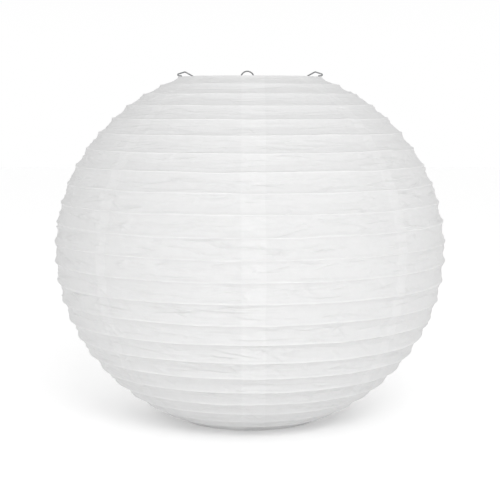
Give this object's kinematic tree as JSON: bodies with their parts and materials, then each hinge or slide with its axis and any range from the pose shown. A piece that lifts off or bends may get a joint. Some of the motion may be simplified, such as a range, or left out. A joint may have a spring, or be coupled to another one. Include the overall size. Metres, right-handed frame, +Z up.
{
  "type": "accordion paper lantern",
  "caption": "Round white paper lantern with level wire ribs that folds flat like an accordion, held open by a removable wire stretcher with a hanging eye.",
  "frame": {"origin": "on the lantern's axis, at the underside of the bottom ring, which is the face it stands on", "axes": "+Z up along the lantern's axis, the short way through it; the stretcher stands in the X-Z plane; -Y is the side seen from the front"},
  "size_m": [0.4492, 0.4492, 0.3998],
  "materials": {
    "paper": "matt translucent tissue, finely creased",
    "rib_wire": "white coated wire",
    "ring_wire": "white coated wire",
    "stretcher_wire": "dull zinc plated spring wire"
  },
  "bodies": {
    "bottom": {"bottom_ring": "ring_wire", "paper_gore_1": "paper", "paper_gore_2": "paper", "paper_gore_3": "paper", "paper_gore_4": "paper", "paper_gore_5": "paper", "paper_gore_6": "paper", "paper_gore_7": "paper", "paper_gore_8": "paper"},
    "top": {"top_ring": "ring_wire"},
    "stretcher": {"stretcher": "stretcher_wire"},
    "rib_01": {"rib_01": "rib_wire"},
    "rib_02": {"rib_02": "rib_wire"},
    "rib_03": {"rib_03": "rib_wire"},
    "rib_04": {"rib_04": "rib_wire"},
    "rib_05": {"rib_05": "rib_wire"},
    "rib_06": {"rib_06": "rib_wire"},
    "rib_07": {"rib_07": "rib_wire"},
    "rib_08": {"rib_08": "rib_wire"},
    "rib_09": {"rib_09": "rib_wire"},
    "rib_10": {"rib_10": "rib_wire"},
    "rib_11": {"rib_11": "rib_wire"},
    "rib_12": {"rib_12": "rib_wire"},
    "rib_13": {"rib_13": "rib_wire"},
    "rib_14": {"rib_14": "rib_wire"},
    "rib_15": {"rib_15": "rib_wire"},
    "rib_16": {"rib_16": "rib_wire"},
    "rib_17": {"rib_17": "rib_wire"},
    "rib_18": {"rib_18": "rib_wire"},
    "rib_19": {"rib_19": "rib_wire"},
    "rib_20": {"rib_20": "rib_wire"},
    "rib_21": {"rib_21": "rib_wire"},
    "rib_22": {"rib_22": "rib_wire"}
  },
  "joints": [
    {"name": "collapse", "type": "slide", "parent": "bottom", "child": "top", "axis": [0, 0, -1], "range_m": [0, 0.35385], "deforming": ["paper_gore_1", "paper_gore_2", "paper_gore_3", "paper_gore_4", "paper_gore_5", "paper_gore_6", "paper_gore_7", "paper_gore_8"]},
    {"name": "stretcher_lift", "type": "slide", "parent": "bottom", "child": "stretcher", "axis": [0, 0, 1], "range_m": [0, 0.42]},
    {"name": "rib_01_slide", "type": "slide", "parent": "bottom", "child": "rib_01", "axis": [0, 0, -1], "range_m": [0, 0.00786]},
    {"name": "rib_02_slide", "type": "slide", "parent": "bottom", "child": "rib_02", "axis": [0, 0, -1], "range_m": [0, 0.01746]},
    {"name": "rib_03_slide", "type": "slide", "parent": "bottom", "child": "rib_03", "axis": [0, 0, -1], "range_m": [0, 0.02885]},
    {"name": "rib_04_slide", "type": "slide", "parent": "bottom", "child": "rib_04", "axis": [0, 0, -1], "range_m": [0, 0.04179]},
    {"name": "rib_05_slide", "type": "slide", "parent": "bottom", "child": "rib_05", "axis": [0, 0, -1], "range_m": [0, 0.05633]},
    {"name": "rib_06_slide", "type": "slide", "parent": "bottom", "child": "rib_06", "axis": [0, 0, -1], "range_m": [0, 0.07227]},
    {"name": "rib_07_slide", "type": "slide", "parent": "bottom", "child": "rib_07", "axis": [0, 0, -1], "range_m": [0, 0.08944]},
    {"name": "rib_08_slide", "type": "slide", "parent": "bottom", "child": "rib_08", "axis": [0, 0, -1], "range_m": [0, 0.10769]},
    {"name": "rib_09_slide", "type": "slide", "parent": "bottom", "child": "rib_09", "axis": [0, 0, -1], "range_m": [0, 0.12683]},
    {"name": "rib_10_slide", "type": "slide", "parent": "bottom", "child": "rib_10", "axis": [0, 0, -1], "range_m": [0, 0.14664]},
    {"name": "rib_11_slide", "type": "slide", "parent": "bottom", "child": "rib_11", "axis": [0, 0, -1], "range_m": [0, 0.16679]},
    {"name": "rib_12_slide", "type": "slide", "parent": "bottom", "child": "rib_12", "axis": [0, 0, -1], "range_m": [0, 0.18706]},
    {"name": "rib_13_slide", "type": "slide", "parent": "bottom", "child": "rib_13", "axis": [0, 0, -1], "range_m": [0, 0.20722]},
    {"name": "rib_14_slide", "type": "slide", "parent": "bottom", "child": "rib_14", "axis": [0, 0, -1], "range_m": [0, 0.22703]},
    {"name": "rib_15_slide", "type": "slide", "parent": "bottom", "child": "rib_15", "axis": [0, 0, -1], "range_m": [0, 0.24616]},
    {"name": "rib_16_slide", "type": "slide", "parent": "bottom", "child": "rib_16", "axis": [0, 0, -1], "range_m": [0, 0.26441]},
    {"name": "rib_17_slide", "type": "slide", "parent": "bottom", "child": "rib_17", "axis": [0, 0, -1], "range_m": [0, 0.28159]},
    {"name": "rib_18_slide", "type": "slide", "parent": "bottom", "child": "rib_18", "axis": [0, 0, -1], "range_m": [0, 0.29753]},
    {"name": "rib_19_slide", "type": "slide", "parent": "bottom", "child": "rib_19", "axis": [0, 0, -1], "range_m": [0, 0.31207]},
    {"name": "rib_20_slide", "type": "slide", "parent": "bottom", "child": "rib_20", "axis": [0, 0, -1], "range_m": [0, 0.32501]},
    {"name": "rib_21_slide", "type": "slide", "parent": "bottom", "child": "rib_21", "axis": [0, 0, -1], "range_m": [0, 0.33639]},
    {"name": "rib_22_slide", "type": "slide", "parent": "bottom", "child": "rib_22", "axis": [0, 0, -1], "range_m": [0, 0.346]}
  ],
  "couplings": [
    {"joint": "rib_01_slide", "follows": "collapse", "ratio": 0.022215},
    {"joint": "rib_02_slide", "follows": "collapse", "ratio": 0.049346},
    {"joint": "rib_03_slide", "follows": "collapse", "ratio": 0.081514},
    {"joint": "rib_04_slide", "follows": "collapse", "ratio": 0.11809},
    {"joint": "rib_05_slide", "follows": "collapse", "ratio": 0.15918},
    {"joint": "rib_06_slide", "follows": "collapse", "ratio": 0.20422},
    {"joint": "rib_07_slide", "follows": "collapse", "ratio": 0.25277},
    {"joint": "rib_08_slide", "follows": "collapse", "ratio": 0.30434},
    {"joint": "rib_09_slide", "follows": "collapse", "ratio": 0.35841},
    {"joint": "rib_10_slide", "follows": "collapse", "ratio": 0.4144},
    {"joint": "rib_11_slide", "follows": "collapse", "ratio": 0.47136},
    {"joint": "rib_12_slide", "follows": "collapse", "ratio": 0.52864},
    {"joint": "rib_13_slide", "follows": "collapse", "ratio": 0.5856},
    {"joint": "rib_14_slide", "follows": "collapse", "ratio": 0.64159},
    {"joint": "rib_15_slide", "follows": "collapse", "ratio": 0.69566},
    {"joint": "rib_16_slide", "follows": "collapse", "ratio": 0.74723},
    {"joint": "rib_17_slide", "follows": "collapse", "ratio": 0.79578},
    {"joint": "rib_18_slide", "follows": "collapse", "ratio": 0.84081},
    {"joint": "rib_19_slide", "follows": "collapse", "ratio": 0.88191},
    {"joint": "rib_20_slide", "follows": "collapse", "ratio": 0.91849},
    {"joint": "rib_21_slide", "follows": "collapse", "ratio": 0.95065},
    {"joint": "rib_22_slide", "follows": "collapse", "ratio": 0.97779}
  ]
}
